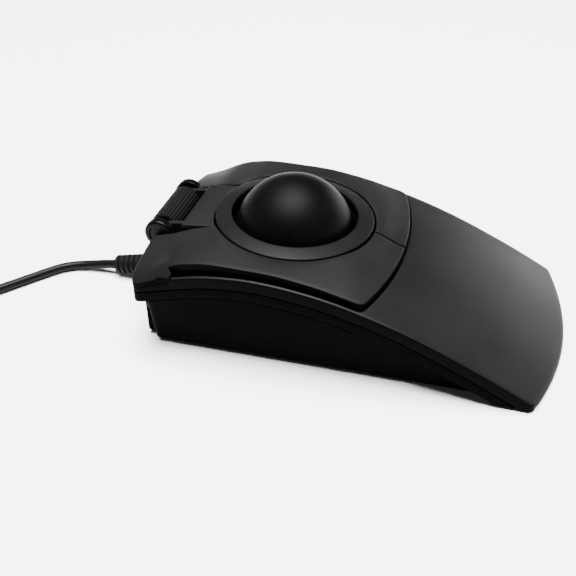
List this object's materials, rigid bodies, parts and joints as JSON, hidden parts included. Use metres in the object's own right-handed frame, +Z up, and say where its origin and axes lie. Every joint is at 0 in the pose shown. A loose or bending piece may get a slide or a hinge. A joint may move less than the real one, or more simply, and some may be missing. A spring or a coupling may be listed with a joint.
{
  "type": "trackball mouse",
  "caption": "Long trackball mouse: arched palm shell, large ball in a ring, two rocking button plates, a middle button carrying a scroll roller, and a USB cord.",
  "frame": {"origin": "on the desk, under the centre of the mouse without its cord", "axes": "+Z up, +Y from the palm end to the cord, +X to the user's right"},
  "size_m": [0.1303, 0.3792, 0.0696],
  "materials": {
    "shell_plastic": "fine-textured satin charcoal",
    "base_plastic": "matte black",
    "ring_plastic": "smooth satin black",
    "ball": "smooth satin black",
    "rubber": "matte rubber",
    "cord_rubber": "satin cord jacket",
    "steel": "plated",
    "board": "solder mask",
    "chip": "moulded epoxy",
    "lens": "clear",
    "white_plastic": "moulded nylon"
  },
  "bodies": {
    "base": {"top_cover": "shell_plastic", "bottom_housing": "base_plastic", "ball_cup": "base_plastic", "inner_deck": "base_plastic", "bezel_ring": "ring_plastic", "rubber_foot_1": "rubber", "rubber_foot_2": "rubber", "rubber_foot_3": "rubber", "rubber_foot_4": "rubber", "cable_gland": "cord_rubber", "inner_cable": "cord_rubber", "cord_run": "cord_rubber", "cord_coil": "cord_rubber", "cord_tail": "cord_rubber", "cord_tie": "cord_rubber", "plug_boot": "cord_rubber", "bearing_ball_front": "steel", "bearing_ball_left": "steel", "bearing_ball_right": "steel", "deck_screw_1": "steel", "deck_screw_2": "steel", "deck_screw_3": "steel", "deck_screw_4": "steel", "housing_screw_1": "steel", "housing_screw_2": "steel", "housing_screw_3": "steel", "housing_screw_4": "steel", "plug_shell": "steel", "circuit_board": "board", "optical_sensor": "chip", "controller_chip": "chip", "left_switch": "chip", "right_switch": "chip", "middle_switch": "chip", "sensor_lens": "lens", "cable_connector": "white_plastic", "plug_tongue": "white_plastic"},
    "trackball": {"trackball": "ball"},
    "left_button": {"left_button": "shell_plastic"},
    "right_button": {"right_button": "shell_plastic"},
    "middle_button": {"middle_button": "shell_plastic"},
    "roller": {"roller_core": "base_plastic", "roller_sleeve": "rubber", "roller_cap_left": "base_plastic", "roller_cap_right": "base_plastic", "roller_axle": "steel"},
    "left_plunger": {"left_plunger": "white_plastic"},
    "right_plunger": {"right_plunger": "white_plastic"},
    "middle_plunger": {"middle_plunger": "white_plastic"}
  },
  "joints": [
    {"name": "trackball_spin", "type": "hinge", "parent": "base", "child": "trackball", "pos_m": [0, 0.0321, 0.041], "axis": [1, 0, 0], "continuous": true},
    {"name": "left_button_press", "type": "hinge", "parent": "base", "child": "left_button", "pos_m": [0, 0.091, 0.036], "axis": [1, 0, 0], "range_deg": [0, 0.6], "stiffness_Nm_per_rad": 1.5, "springref_deg": -1.15},
    {"name": "right_button_press", "type": "hinge", "parent": "base", "child": "right_button", "pos_m": [0, 0.091, 0.036], "axis": [1, 0, 0], "range_deg": [0, 0.6], "stiffness_Nm_per_rad": 1.5, "springref_deg": -1.15},
    {"name": "middle_button_press", "type": "hinge", "parent": "base", "child": "middle_button", "pos_m": [0, 0.07, 0.048], "axis": [-1, 0, 0], "range_deg": [0, 2], "stiffness_Nm_per_rad": 0.4, "springref_deg": -1.72},
    {"name": "roller_spin", "type": "hinge", "parent": "middle_button", "child": "roller", "pos_m": [0, 0.0932, 0.0428], "axis": [1, 0, 0], "continuous": true},
    {"name": "left_plunger_travel", "type": "slide", "parent": "base", "child": "left_plunger", "axis": [0, 0, -1], "range_m": [0, 0.001]},
    {"name": "right_plunger_travel", "type": "slide", "parent": "base", "child": "right_plunger", "axis": [0, 0, -1], "range_m": [0, 0.001]},
    {"name": "middle_plunger_travel", "type": "slide", "parent": "base", "child": "middle_plunger", "axis": [0, 0, -1], "range_m": [0, 0.0004]}
  ],
  "couplings": [
    {"joint": "left_plunger_travel", "follows": "left_button_press", "m_per_rad": 0.089},
    {"joint": "right_plunger_travel", "follows": "right_button_press", "m_per_rad": 0.089},
    {"joint": "middle_plunger_travel", "follows": "middle_button_press", "m_per_rad": 0.0084}
  ]
}
